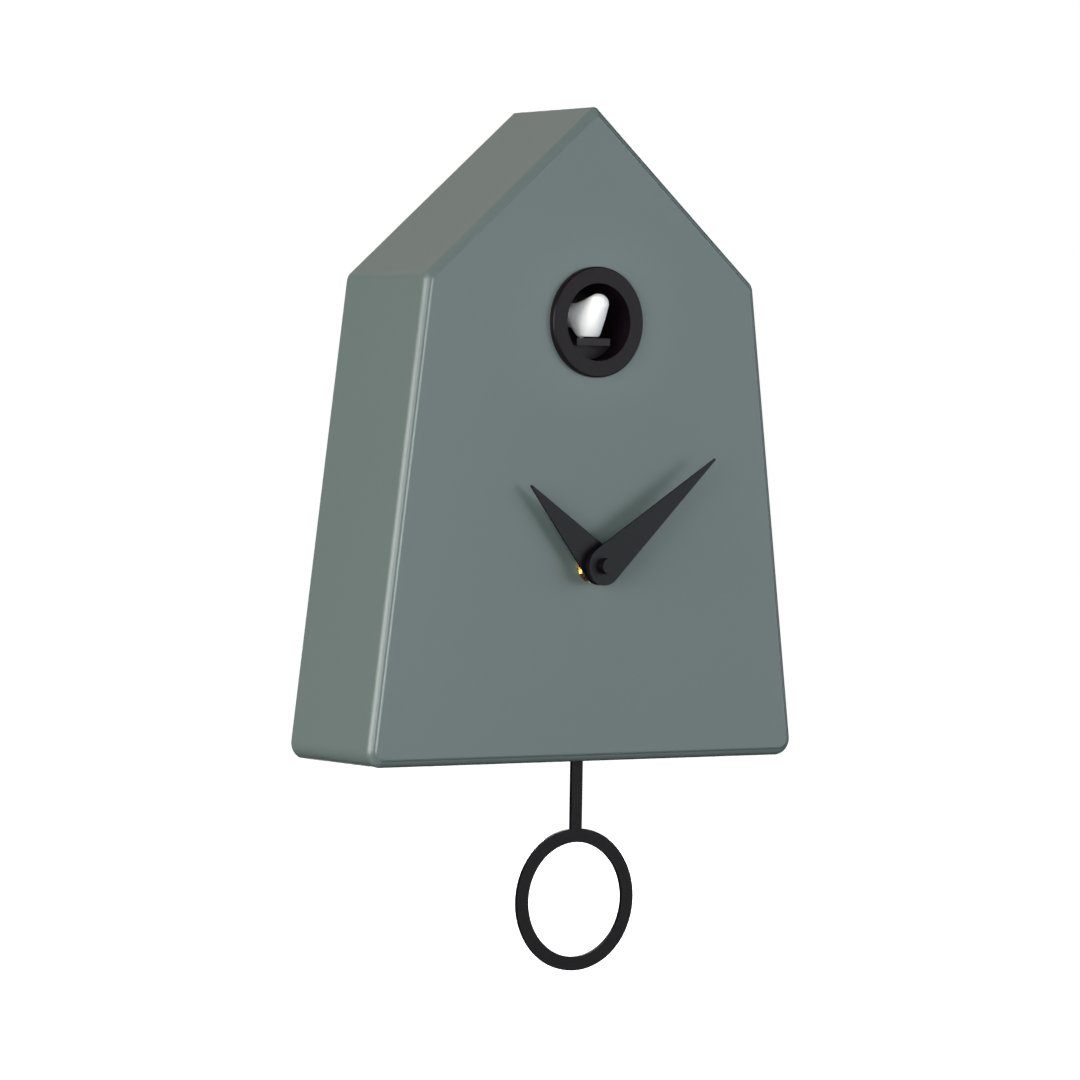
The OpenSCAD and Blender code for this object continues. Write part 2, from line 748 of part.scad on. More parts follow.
module rack_pinion() {
  color("ivory") difference() {
    union() {
      gear_x(pinion_y, pinion_z, pinion_teeth, rack_m, -2.8, 2.8, 90 + 180 / pinion_teeth);
      gear_x(pinion_y, pinion_z, wheel_teeth, wheel_m, 3.2, 6.2, -90);
      bar_x(pinion_y, pinion_z, 3, 2.5, 6.6);
      bar_x(pinion_y, pinion_z, 2.4, -9, -2.5);
    }
    bar_x(pinion_y, pinion_z, 1.05, -10, 10, 32);
  }
}

module pinion_axle() {
  color("silver") bar_x(pinion_y, pinion_z, 1, -13, 13, 32);
}

module gear_motor() {
  color("goldenrod") difference() {
    box([13 + eps, pinion_y - 6, drive_z - 5], [22, pinion_y + 6, drive_z + 5]);
    bar_x(pinion_y, drive_z, 1.56, 12, 15, 32);
  }
  color("silver") intersection() {
    box([22, pinion_y - 6, drive_z - 5], [37, pinion_y + 6, drive_z + 5]);
    bar_x(pinion_y, drive_z, 6, 21, 38, 64);
  }
}

module motor_pinion() {
  color("ivory") gear_x(pinion_y, drive_z, drive_teeth, wheel_m, 3.4, 6, 90 + 180 / drive_teeth);
  color("silver") bar_x(pinion_y, drive_z, 1.5, 6, 14.5, 32);
}

// ---- sound ----

module speaker(profile) {
  translate([speaker_at.x, 0, speaker_at.y]) rotate([90, 0, 0]) rotate_extrude($fn = 96) polygon(profile);
}
module speaker_frame() {
  color("silver") speaker([
    [16.8, 4.1], [20, 4.1], [20, 5.2], [17.6, 5.2], [12, 11.4], [12, 12.4], [5.5, 12.4], [5.5, 11.6],
    [11, 11.6], [11, 11], [16.8, 5],
  ]);
}
module speaker_cone() {
  color("#2a2a2a") speaker([
    [0, 5.6], [4, 7.4], [5.6, 9.4], [16.2, 4.6], [16.2, 5.1], [5.6, 10], [5, 11.2], [4.6, 11.2],
    [4.6, 9.2], [3.4, 8], [0, 6.2],
  ]);
}
module speaker_magnet() {
  color("dimgray") speaker([[0, 12.5], [9.5, 12.5], [10, 13], [10, 17], [9.5, 17.5], [0, 17.5]]);
}

pcb_y = -14;
pcb_t = 1.6;
module sound_board() {
  color("darkgreen") difference() {
    box([31, pcb_y, up(124)], [73, pcb_y + pcb_t, up(162)]);
    for (at = post_at) bar_y(at.x, at.y, 1.4 + eps, pcb_y - 1, pcb_y + 3, 32);
  }
  color("#222222") {
    difference() {
      bar_y(knob_at.x, knob_at.y, 6, pcb_y + pcb_t + eps, -8.4);
      bar_y(knob_at.x, knob_at.y, 3.05, pcb_y + pcb_t + 1, -8, 48);
    }
    box([switch_at.x - 5.5, pcb_y + pcb_t + eps, switch_at.y - 3],
      [switch_at.x + 5.5, -8.4, switch_at.y + 3]);
    box([47, pcb_y - 2, up(128)], [57, pcb_y - eps, up(136)]);
  }
  color("#3b3f66") for (x = [44, 52, 60]) bar_y(x, up(153), 3, pcb_y - 8, pcb_y - eps, 32);
  color("ivory") for (x = [40, 58]) box([x, pcb_y - 5, up(140)], [x + 7, pcb_y - eps, up(145)]);
}

module board_posts() {
  color("#303338") for (at = post_at) {
    bar_y(at.x, at.y, 3, pcb_y + pcb_t + eps, -panel_t - eps, 32);
    bar_y(at.x, at.y, 1.4, pcb_y - 1.5, pcb_y + pcb_t + 0.5, 32);
    bar_y(at.x, at.y, 2.3, pcb_y - 1.5, pcb_y - eps, 32);
  }
}

module volume_knob() {
  color("#3a3d40") difference() {
    union() {
      bar_y(knob_at.x, knob_at.y, 3, pcb_y + pcb_t + 1.2, -8);
      bar_y(knob_at.x, knob_at.y, 7.5, -8.1, -0.8);
    }
    for (a = [0:18:342])
      bar_y(knob_at.x + 7.8 * cos(a), knob_at.y + 7.8 * sin(a), 0.7, -9, 0, 16);
    box([knob_at.x - 0.6, -1.6, knob_at.y + 1], [knob_at.x + 0.6, 0, knob_at.y + 6]);
  }
}

module mode_slider() {
  color("#3a3d40") box([switch_at.x - 1.6, -8.2, switch_at.y - 1.6],
    [switch_at.x + 1.6, -0.8, switch_at.y + 1.6]);
}

module light_sensor() {
  color("orangered") translate([sensor_at.x, sensor_at.y, base_z + 0.6]) {
    cylinder(r = 2.5, h = 4);
    for (x = [-1, 1]) translate([x, 0, 3.5]) cylinder(r = 0.3, h = 12, $fn = 16);
  }
}

// ---- battery compartment ----

tray_wall = 1.5;
tray_deep = 17.5;
door_t = 1.6;
cell_x = [tray[0].x + 9.6, tray[1].x - 9.6];
cell_mid = (tray[0].y + tray[1].y) / 2;

module battery_tray() {
  color("#303338") difference() {
    union() {
      box([tray[0].x, -tray_deep, tray[0].y], [tray[1].x, -0.1, tray[1].y]);
      box([tray[0].x - 3, -panel_t - 1.7, tray[0].y - 3], [tray[1].x + 3, -panel_t - eps, tray[1].y + 3]);
    }
    box([tray[0].x + tray_wall, -tray_deep + tray_wall, tray[0].y + tray_wall],
      [tray[1].x - tray_wall, 1, tray[1].y - tray_wall]);
    box([tray[0].x + 0.7, -door_t - 0.3, tray[0].y + 0.7], [tray[1].x - 0.7, 1, tray[1].y - 0.7]);
  }
}

// Two cells side by side, one up and one down
module sound_batteries() {
  color("#3c5a4c") for (k = [0, 1]) translate([cell_x[k], -tray_deep + tray_wall + 7.3, cell_mid])
    rotate([k * 180, 0, 0]) {
      translate([0, 0, -24.7]) cylinder(r = cell_r, h = 49);
      translate([0, 0, 24]) cylinder(r = 2.6, h = 1.5);
    }
}

module tray_contacts() {
  color("silver") for (k = [0, 1]) translate([cell_x[k], -tray_deep + tray_wall + 7.3, cell_mid])
    rotate([k * 180, 0, 0]) {
      translate([-4.5, -4.5, 25.6]) cube([9, 9, 0.6]);
      translate([-5, -5, -29.4]) cube([10, 10, 0.6]);
      for (s = [0:3]) translate([0, 0, -28.2 + s * 0.9]) rotate_extrude($fn = 32)
        translate([5 - s * 0.7, 0]) circle(r = 0.4, $fn = 16);
    }
}

module battery_door() {
  color("#303338") difference() {
    box([tray[0].x + 1, -door_t, tray[0].y + 1], [tray[1].x - 1, -0.1, tray[1].y - 1]);
    for (k = [0:5]) let (z = tray[1].y - 8 - 2 * k)
      box([tray[0].x + 9, -0.6, z], [tray[1].x - 9, 1, z + 0.8]);
  }
}

front_board();
left_wall();
right_wall();
left_roof();
right_roof();
base_board();
back_panel();
glue_blocks();
panel_screws();
hanger_plate();
hanger_screws();
bezel();
bezel_lock_ring();
movement_front_shell();
movement_rear_shell();
movement_gasket();
threaded_bushing();
dial_washer();
dial_nut();
movement_battery();
battery_contacts();
movement_board();
motor_coil();
motor_stator();
motor_rotor();
first_wheel();
second_wheel();
minute_arbor();
motion_wheel();
setting_knob();
hour_wheel();
hour_hand();
minute_hand();
hand_cap();
pendulum_coil();
pendulum_pin();
pendulum_lever();
pendulum_magnet();
pendulum();
cuckoo_frame();
frame_screws();
bird_carriage();
bird();
bird_screw();
rack_pinion();
pinion_axle();
gear_motor();
motor_pinion();
speaker_frame();
speaker_cone();
speaker_magnet();
sound_board();
board_posts();
volume_knob();
mode_slider();
light_sensor();
battery_tray();
tray_contacts();
sound_batteries();
battery_door();
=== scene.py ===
import json
import math

import bmesh
import bpy
from mathutils import Matrix, Vector


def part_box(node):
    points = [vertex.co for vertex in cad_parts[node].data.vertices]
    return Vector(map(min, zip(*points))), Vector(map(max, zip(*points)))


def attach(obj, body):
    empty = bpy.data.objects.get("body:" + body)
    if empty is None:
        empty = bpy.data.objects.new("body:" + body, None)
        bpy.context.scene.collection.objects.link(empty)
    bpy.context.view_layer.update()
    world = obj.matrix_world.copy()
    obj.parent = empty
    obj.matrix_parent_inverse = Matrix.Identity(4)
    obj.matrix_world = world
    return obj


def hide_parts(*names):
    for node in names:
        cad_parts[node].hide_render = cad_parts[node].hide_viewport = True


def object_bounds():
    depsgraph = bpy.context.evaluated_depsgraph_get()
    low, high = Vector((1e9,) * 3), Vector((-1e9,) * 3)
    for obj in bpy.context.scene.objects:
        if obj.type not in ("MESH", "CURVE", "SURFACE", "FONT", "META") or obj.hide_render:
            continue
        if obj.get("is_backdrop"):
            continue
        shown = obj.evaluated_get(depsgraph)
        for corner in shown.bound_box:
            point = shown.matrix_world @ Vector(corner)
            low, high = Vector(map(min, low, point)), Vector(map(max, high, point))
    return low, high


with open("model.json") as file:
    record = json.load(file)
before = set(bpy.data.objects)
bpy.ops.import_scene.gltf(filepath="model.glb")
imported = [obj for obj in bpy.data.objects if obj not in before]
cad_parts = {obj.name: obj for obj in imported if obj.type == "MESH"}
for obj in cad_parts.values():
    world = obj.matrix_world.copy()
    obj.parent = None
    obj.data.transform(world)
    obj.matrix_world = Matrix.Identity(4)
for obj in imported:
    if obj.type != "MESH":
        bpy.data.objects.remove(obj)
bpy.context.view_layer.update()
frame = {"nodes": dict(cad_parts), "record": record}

mm = 0.001
scene = bpy.context.scene

cameraView = {
    "focal": 159.85,                            # mm on a 36 mm sensor
    "sensor": 36.0,
    "place": (-1.15524, -1.66218, -0.09028),    # metres
    "right": (0.81749688, -0.57571306, 0.01591623),
    "up": (0.00131359, 0.02949933, 0.99956394),
    "forward": (0.57593153, 0.81711949, -0.02487186),
    "nearest": 0.05, "farthest": 60.0,
}


def addCamera(view):
    lens = bpy.data.cameras.new("cameraLens")
    lens.sensor_fit = "HORIZONTAL"
    lens.sensor_width = view["sensor"]
    lens.lens = view["focal"]
    lens.clip_start = view["nearest"]
    lens.clip_end = view["farthest"]
    stand = bpy.data.objects.new("camera", lens)
    scene.collection.objects.link(stand)
    turn = Matrix((view["right"], view["up"], [-v for v in view["forward"]])).transposed()
    stand.matrix_world = Matrix.Translation(view["place"]) @ turn.to_4x4()
    return stand


scene.camera = addCamera(cameraView)
print("camera placed")


# finishes: what each surface is painted, moulded or turned from
def newFinish(name, colour, rough, metal=0.0, specular=0.5, coat=0.0, coatRough=0.1):
    finish = bpy.data.materials.new(name)
    finish.use_nodes = True
    shader = finish.node_tree.nodes["Principled BSDF"]
    shader.inputs["Base Color"].default_value = (*colour, 1.0)
    shader.inputs["Roughness"].default_value = rough
    shader.inputs["Metallic"].default_value = metal
    shader.inputs["Specular IOR Level"].default_value = specular
    shader.inputs["Coat Weight"].default_value = coat
    shader.inputs["Coat Roughness"].default_value = coatRough
    return finish, shader, finish.node_tree.nodes, finish.node_tree.links


def place(nodes, links, scale=(1, 1, 1)):
    # a pattern keeps its place on the piece, stretched along each axis by scale
    spot = nodes.new("ShaderNodeTexCoord")
    stretch = nodes.new("ShaderNodeMapping")
    stretch.inputs["Scale"].default_value = scale
    links.new(spot.outputs["Object"], stretch.inputs["Vector"])
    return stretch.outputs["Vector"]


def noise(nodes, links, where, scale, detail=3.0, rough=0.55):
    cloud = nodes.new("ShaderNodeTexNoise")
    cloud.inputs["Scale"].default_value = scale
    cloud.inputs["Detail"].default_value = detail
    cloud.inputs["Roughness"].default_value = rough
    links.new(where, cloud.inputs["Vector"])
    return cloud.outputs["Fac"]


def spread(nodes, links, value, low, high, fromLow=0.3, fromHigh=0.7):
    span = nodes.new("ShaderNodeMapRange")
    span.interpolation_type = "SMOOTHERSTEP"    # its ends leave no line on a glossy face
    span.inputs["From Min"].default_value = fromLow
    span.inputs["From Max"].default_value = fromHigh
    span.inputs["To Min"].default_value = low
    span.inputs["To Max"].default_value = high
    links.new(value, span.inputs["Value"])
    return span.outputs["Result"]


def roughen(nodes, links, shader, value, low, high, fromLow=0.3, fromHigh=0.7):
    links.new(spread(nodes, links, value, low, high, fromLow, fromHigh), shader.inputs["Roughness"])


def tint(nodes, links, shader, value, colours, stops):
    ramp = nodes.new("ShaderNodeValToRGB")
    band = ramp.color_ramp
    band.interpolation = "EASE"
    while len(band.elements) < len(colours):
        band.elements.new(0.5)
    for element, stop, colour in zip(band.elements, stops, colours):
        element.position = stop
        element.color = (*colour, 1.0)
    links.new(value, ramp.inputs["Fac"])
    links.new(ramp.outputs["Color"], shader.inputs["Base Color"])


def shades(colour, amount):
    return [tuple(c * (1 - amount) for c in colour), tuple(min(1, c * (1 + amount)) for c in colour)]


def relief(nodes, links, shader, height, strength, distance):
    bump = nodes.new("ShaderNodeBump")
    bump.inputs["Strength"].default_value = strength
    bump.inputs["Distance"].default_value = distance
    links.new(height, bump.inputs["Height"])
    links.new(bump.outputs["Normal"], shader.inputs["Normal"])


def makeSageLacquer():
    look = {"colour": (0.135, 0.176, 0.167), "cloud": 9.0, "mottle": 0.02,
            "roughLow": 0.27, "roughHigh": 0.30, "peelScale": 620.0, "peel": 0.04, "peelDepth": 0.0004}
    finish, shader, nodes, links = newFinish("sageLacquer", look["colour"], look["roughHigh"], specular=0.45)
    where = place(nodes, links)
    broad = noise(nodes, links, where, look["cloud"], 1.0)
    tint(nodes, links, shader, broad, shades(look["colour"], look["mottle"]), (0.0, 1.0))
    roughen(nodes, links, shader, broad, look["roughLow"], look["roughHigh"], 0.0, 1.0)
    peel = noise(nodes, links, where, look["peelScale"], 2.0)
    relief(nodes, links, shader, peel, look["peel"], look["peelDepth"])
    return finish


def makeBlackCoat(name, colour, rough, specular):
    look = {"cloud": 40.0, "mottle": 0.12, "grain": 1400.0, "smoother": 0.05, "rougher": 0.06,
            "bite": 0.12, "depth": 0.0003}
    finish, shader, nodes, links = newFinish(name, colour, rough, specular=specular)
    where = place(nodes, links)
    broad = noise(nodes, links, where, look["cloud"])
    tint(nodes, links, shader, broad, shades(colour, look["mottle"]), (0.3, 0.7))
    fine = noise(nodes, links, where, look["grain"], 2.0)
    roughen(nodes, links, shader, fine, rough - look["smoother"], rough + look["rougher"])
    relief(nodes, links, shader, fine, look["bite"], look["depth"])
    return finish


def makePlastic(name, colour, rough, mottle=0.04, grain=900.0, bite=0.08, specular=0.45):
    look = {"cloud": 60.0, "smoother": 0.01, "rougher": 0.02, "depth": 0.0002}
    finish, shader, nodes, links = newFinish(name, colour, rough, specular=specular)
    where = place(nodes, links)
    broad = noise(nodes, links, where, look["cloud"])
    tint(nodes, links, shader, broad, shades(colour, mottle), (0.3, 0.7))
    roughen(nodes, links, shader, broad, rough - look["smoother"], rough + look["rougher"], 0.0, 1.0)
    fine = noise(nodes, links, where, grain, 3.0)
    relief(nodes, links, shader, fine, bite, look["depth"])
    return finish


def makeBirdPlastic():
    # milky plastic: light spreads a few millimetres inside it
    look = {"colour": (0.90, 0.90, 0.895), "rough": 0.42, "mottle": 0.012, "grain": 500.0, "bite": 0.04,
            "milk": 0.7, "reach": 0.006}
    finish = makePlastic("birdWhite", look["colour"], look["rough"], look["mottle"],
                         look["grain"], look["bite"])
    shader = finish.node_tree.nodes["Principled BSDF"]
    shader.inputs["Subsurface Weight"].default_value = look["milk"]
    shader.inputs["Subsurface Radius"].default_value = (1.0, 1.0, 1.0)
    shader.inputs["Subsurface Scale"].default_value = look["reach"]
    return finish


def makeMetal(name, colour, rough, stretch=(1, 1, 1), tarnish=0.12):
    look = {"cloud": 120.0, "lines": 500.0, "smoother": 0.08, "rougher": 0.1, "bite": 0.05, "depth": 0.0002}
    finish, shader, nodes, links = newFinish(name, colour, rough, metal=1.0)
    broad = noise(nodes, links, place(nodes, links), look["cloud"])
    tint(nodes, links, shader, broad, shades(colour, tarnish), (0.25, 0.75))
    lines = noise(nodes, links, place(nodes, links, stretch), look["lines"], 4.0)
    roughen(nodes, links, shader, lines, rough - look["smoother"], rough + look["rougher"])
    relief(nodes, links, shader, lines, look["bite"], look["depth"])
    return finish


def makeTurnedBrass():
    look = {"light": (0.93, 0.78, 0.47), "deep": (0.80, 0.60, 0.28), "cloud": 150.0, "rough": 0.30,
            "roughSwing": 0.06, "rings": 900.0, "bite": 0.05, "depth": 0.0001}
    finish, shader, nodes, links = newFinish("turnedBrass", look["light"], look["rough"], metal=1.0)
    where = place(nodes, links)
    broad = noise(nodes, links, where, look["cloud"])
    tint(nodes, links, shader, broad, [look["deep"], look["light"]], (0.3, 0.7))
    low, high = look["rough"] - look["roughSwing"], look["rough"] + look["roughSwing"]
    roughen(nodes, links, shader, broad, low, high)
    rings = nodes.new("ShaderNodeTexWave")      # the marks of the turning tool
    rings.wave_type = "RINGS"
    rings.rings_direction = "Y"
    rings.inputs["Scale"].default_value = look["rings"]
    links.new(where, rings.inputs["Vector"])
    relief(nodes, links, shader, rings.outputs["Fac"], look["bite"], look["depth"])
    return finish


def makeFibreboard():
    look = {"colours": [(0.020, 0.017, 0.015), (0.036, 0.031, 0.027), (0.078, 0.064, 0.050)],
            "stops": (0.48, 0.62, 0.80), "rough": 0.82, "fibres": 420.0, "flatten": (1, 1, 2.4),
            "cloud": 26.0, "cloudShare": 0.25, "bite": 0.35, "depth": 0.0004}
    finish, shader, nodes, links = newFinish("fibreboard", look["colours"][1], look["rough"], specular=0.25)
    strands = noise(nodes, links, place(nodes, links, look["flatten"]), look["fibres"], 6.0, 0.7)
    broad = noise(nodes, links, place(nodes, links), look["cloud"])
    mixed = nodes.new("ShaderNodeMath")
    mixed.operation = "MULTIPLY_ADD"
    mixed.inputs[1].default_value = look["cloudShare"]
    links.new(broad, mixed.inputs[0])
    links.new(strands, mixed.inputs[2])
    tint(nodes, links, shader, mixed.outputs[0], look["colours"], look["stops"])
    relief(nodes, links, shader, strands, look["bite"], look["depth"])
    return finish


def makeSoftwood():
    look = {"light": (0.62, 0.44, 0.25), "dark": (0.42, 0.26, 0.12), "rough": 0.6, "rings": 38.0,
            "along": (3.0, 0.35, 3.0), "wander": 5.0, "fibre": 240.0, "fibreAlong": (6, 0.4, 6),
            "bite": 0.25, "depth": 0.0003}
    finish, shader, nodes, links = newFinish("softwood", look["light"], look["rough"], specular=0.3)
    rings = nodes.new("ShaderNodeTexWave")
    rings.wave_type = "BANDS"
    rings.inputs["Scale"].default_value = look["rings"]
    rings.inputs["Distortion"].default_value = look["wander"]
    rings.inputs["Detail"].default_value = 3.0
    links.new(place(nodes, links, look["along"]), rings.inputs["Vector"])
    tint(nodes, links, shader, rings.outputs["Fac"], [look["light"], look["dark"]], (0.2, 0.95))
    fibre = noise(nodes, links, place(nodes, links, look["fibreAlong"]), look["fibre"], 5.0)
    relief(nodes, links, shader, fibre, look["bite"], look["depth"])
    return finish


def makeCircuitBoard():
    look = {"mask": (0.012, 0.085, 0.040), "track": (0.030, 0.150, 0.070), "rough": 0.32, "coat": 0.3,
            "pattern": 260.0, "stops": (0.0, 0.36, 0.4, 1.0), "bite": 0.1, "depth": 0.0001}
    finish, shader, nodes, links = newFinish("circuitBoard", look["mask"], look["rough"], coat=look["coat"])
    cells = nodes.new("ShaderNodeTexVoronoi")
    cells.distance = "MANHATTAN"
    cells.feature = "F1"
    cells.inputs["Scale"].default_value = look["pattern"]
    links.new(place(nodes, links), cells.inputs["Vector"])
    colours = [look["track"], look["track"], look["mask"], look["mask"]]
    tint(nodes, links, shader, cells.outputs["Distance"], colours, look["stops"])
    relief(nodes, links, shader, cells.outputs["Distance"], look["bite"], look["depth"])
    return finish


def makeCopperWinding():
    look = {"colour": (0.46, 0.17, 0.07), "gap": (0.26, 0.08, 0.03), "rough": 0.35, "metal": 0.6, "coat": 0.4,
            "turns": 414.0, "bite": 0.5, "depth": 0.0002}
    finish, shader, nodes, links = newFinish("copperWinding", look["colour"], look["rough"],
                                             metal=look["metal"], coat=look["coat"])
    turns = nodes.new("ShaderNodeTexWave")
    turns.bands_direction = "X"
    turns.inputs["Scale"].default_value = look["turns"]
    links.new(place(nodes, links), turns.inputs["Vector"])
    tint(nodes, links, shader, turns.outputs["Fac"], [look["gap"], look["colour"]], (0.1, 0.8))
    relief(nodes, links, shader, turns.outputs["Fac"], look["bite"], look["depth"])
    return finish


def makeCellWrap():
    look = {"wrap": (0.018, 0.060, 0.036), "mottle": 0.15, "cloud": 70.0, "rough": 0.28,
            "roughSwing": 0.06, "metal": 0.35, "coat": 0.5}
    finish, shader, nodes, links = newFinish("cellWrap", look["wrap"], look["rough"],
                                             metal=look["metal"], coat=look["coat"])
    broad = noise(nodes, links, place(nodes, links), look["cloud"])
    tint(nodes, links, shader, broad, shades(look["wrap"], look["mottle"]), (0.3, 0.7))
    low, high = look["rough"] - look["roughSwing"], look["rough"] + look["roughSwing"]
    roughen(nodes, links, shader, broad, low, high)
    return finish


def makeConePaper():
    look = {"dark": (0.018, 0.018, 0.018), "light": (0.055, 0.053, 0.05), "rough": 0.85,
            "fibre": 700.0, "bite": 0.4, "depth": 0.0003}
    finish, shader, nodes, links = newFinish("conePaper", look["dark"], look["rough"], specular=0.2)
    fibre = noise(nodes, links, place(nodes, links), look["fibre"], 6.0, 0.75)
    tint(nodes, links, shader, fibre, [look["dark"], look["light"]], (0.35, 0.7))
    relief(nodes, links, shader, fibre, look["bite"], look["depth"])
    return finish


finishes = {
    "sage_lacquer": makeSageLacquer(),
    "back_board": makeFibreboard(),
    "raw_wood": makeSoftwood(),
    "zinc_steel": makeMetal("zincSteel", (0.50, 0.515, 0.53), rough=0.36, tarnish=0.05),
    "black_bezel": makeBlackCoat("bezelBlack", (0.0062, 0.0034, 0.0052), rough=0.38, specular=0.19),
    "movement_plastic": makePlastic("movementPlastic", (0.016, 0.016, 0.018), rough=0.5, grain=1200.0,
                                    bite=0.18),
    "gasket_rubber": makePlastic("gasketRubber", (0.012, 0.012, 0.012), rough=0.85, mottle=0.1, grain=700.0,
                                 bite=0.2, specular=0.2),
    "brass_parts": makeTurnedBrass(),
    "cell_wrap": makeCellWrap(),
    "circuit_board": makeCircuitBoard(),
    "coil_wire": makeCopperWinding(),
    "iron_core": makeMetal("stampedIron", (0.40, 0.41, 0.43), rough=0.42),
    "magnet_dark": makePlastic("ferrite", (0.045, 0.045, 0.048), rough=0.62, mottle=0.15, grain=600.0,
                               bite=0.3),
    "gear_plastic": makePlastic("gearPlastic", (0.78, 0.76, 0.68), rough=0.38, mottle=0.03),
    "arbor_steel": makeMetal("arborSteel", (0.60, 0.61, 0.62), rough=0.26, stretch=(1, 0.1, 1)),
    "black_hands": makeBlackCoat("handBlack", (0.0038, 0.0030, 0.0050), rough=0.38, specular=0.24),
    "black_pendulum": makeBlackCoat("pendulumBlack", (0.0036, 0.0026, 0.0030), rough=0.42, specular=0.18),
    "frame_plastic": makePlastic("framePlastic", (0.022, 0.023, 0.025), rough=0.46, grain=1200.0, bite=0.18),
    "black_deck": makeBlackCoat("deckBlack", (0.0110, 0.0075, 0.0100), rough=0.42, specular=0.27),
    "white_bird": makeBirdPlastic(),
    "motor_metal": makeMetal("motorCan", (0.60, 0.58, 0.52), rough=0.30, stretch=(0.1, 1, 1)),
    "speaker_metal": makeMetal("speakerBasket", (0.34, 0.34, 0.35), rough=0.40),
    "speaker_paper": makeConePaper(),
    "sensor_plastic": makePlastic("sensorFace", (0.50, 0.14, 0.06), rough=0.22, mottle=0.1, grain=300.0,
                                  bite=0.02),
}
print("finishes made:", len(finishes))


# tools that every piece uses
def addPiece(name, bm, slotName, body):
    mesh = bpy.data.meshes.new(name)
    bmesh.ops.recalc_face_normals(bm, faces=bm.faces)
    bm.to_mesh(mesh)
    bm.free()
    piece = bpy.data.objects.new(name, mesh)
    scene.collection.objects.link(piece)
    mesh.materials.append(finishes[slotName])
    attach(piece, body)
    return piece


def smoothPiece(piece, angle):
    for face in piece.data.polygons:
        face.use_smooth = True
    piece.data.set_sharp_from_angle(angle=math.radians(angle))


def softenEdges(piece, name, width, segments, angle):
    bevel = piece.modifiers.new(name, "BEVEL")
    bevel.width = width
    bevel.segments = segments
    bevel.limit_method = "ANGLE"
    bevel.angle_limit = math.radians(angle)


def freeze(piece):
    settled = piece.evaluated_get(bpy.context.evaluated_depsgraph_get())
    mesh = bpy.data.meshes.new_from_object(settled)
    piece.modifiers.clear()
    piece.data = mesh


def wallBetween(bm, one, two):
    count = len(one)
    for i in range(count):
        bm.faces.new((one[i], one[(i + 1) % count], two[(i + 1) % count], two[i]))


def stackRings(rings):
    # a closed solid through rings of equal length
    bm = bmesh.new()
    rows = [[bm.verts.new(p) for p in ring] for ring in rings]
    for one, two in zip(rows, rows[1:]):
        wallBetween(bm, one, two)
    bm.faces.new(rows[0])
    bm.faces.new(rows[-1])
    return bm


def layRing(outline, y):
    return [Vector((x, y, z)) for x, z in outline]


def roundBar(centre, radius, y0, y1, steps):
    ring = [(centre[0] + radius * math.cos(2 * math.pi * k / steps),
             centre[1] + radius * math.sin(2 * math.pi * k / steps)) for k in range(steps)]
    return stackRings([layRing(ring, y0), layRing(ring, y1)])


def blockBetween(low, high):
    outline = [(low[0], low[2]), (high[0], low[2]), (high[0], high[2]), (low[0], high[2])]
    return stackRings([layRing(outline, low[1]), layRing(outline, high[1])])


def cutter(name, bm):
    mesh = bpy.data.meshes.new(name)
    bmesh.ops.recalc_face_normals(bm, faces=bm.faces)
    bm.to_mesh(mesh)
    bm.free()
    tool = bpy.data.objects.new(name, mesh)
    scene.collection.objects.link(tool)
    return tool


def cutAway(piece, tools):
    for tool in tools:
        cut = piece.modifiers.new("cut", "BOOLEAN")
        cut.operation = "DIFFERENCE"
        cut.solver = "EXACT"
        cut.object = tool
    freeze(piece)
    for tool in tools:
        bpy.data.objects.remove(tool)


def middle(name):
    low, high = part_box(name)
    return [(a + b) / 2 for a, b in zip(low, high)]


# the case: one seamless lacquered shell over the six boards
caseShape = {
    "width": 216.2 * mm, "eaveWidth": 166.2 * mm, "eaveHeight": 198.6 * mm, "apexHeight": 270.4 * mm,
    "bottomRadius": 7 * mm, "eaveRadius": 5 * mm, "apexRadius": 2 * mm, "leastRadius": 0.05 * mm,
    # the routed edge, and the tiny rounded shoulder where the dial ends above it
    "edge": 3.2 * mm, "edgeTurn": 80, "shoulder": 1.15 * mm, "shoulderTurn": 62, "dialRim": 0.5 * mm,
    "backEdge": 0.7 * mm,
    "wall": 8 * mm, "front": 6 * mm, "rebate": 4 * mm, "rebateDepth": 4 * mm,
    "portRadius": 17.55 * mm, "shaftRadius": 4.2 * mm, "sensorRadius": 2.6 * mm,
    "slotWidth": 26 * mm, "slotDepth": 5 * mm, "slotClear": 4 * mm,
    "cutPast": 10 * mm, "sensorBore": 30 * mm,
    "cornerSteps": 14, "edgeSteps": 10, "shoulderSteps": 6, "backSteps": 4,
    "portSteps": 96, "shaftSteps": 48, "sensorSteps": 40,
    "smoothAngle": 32, "softWidth": 0.25 * mm, "softSegments": 2, "softAngle": 40,
}


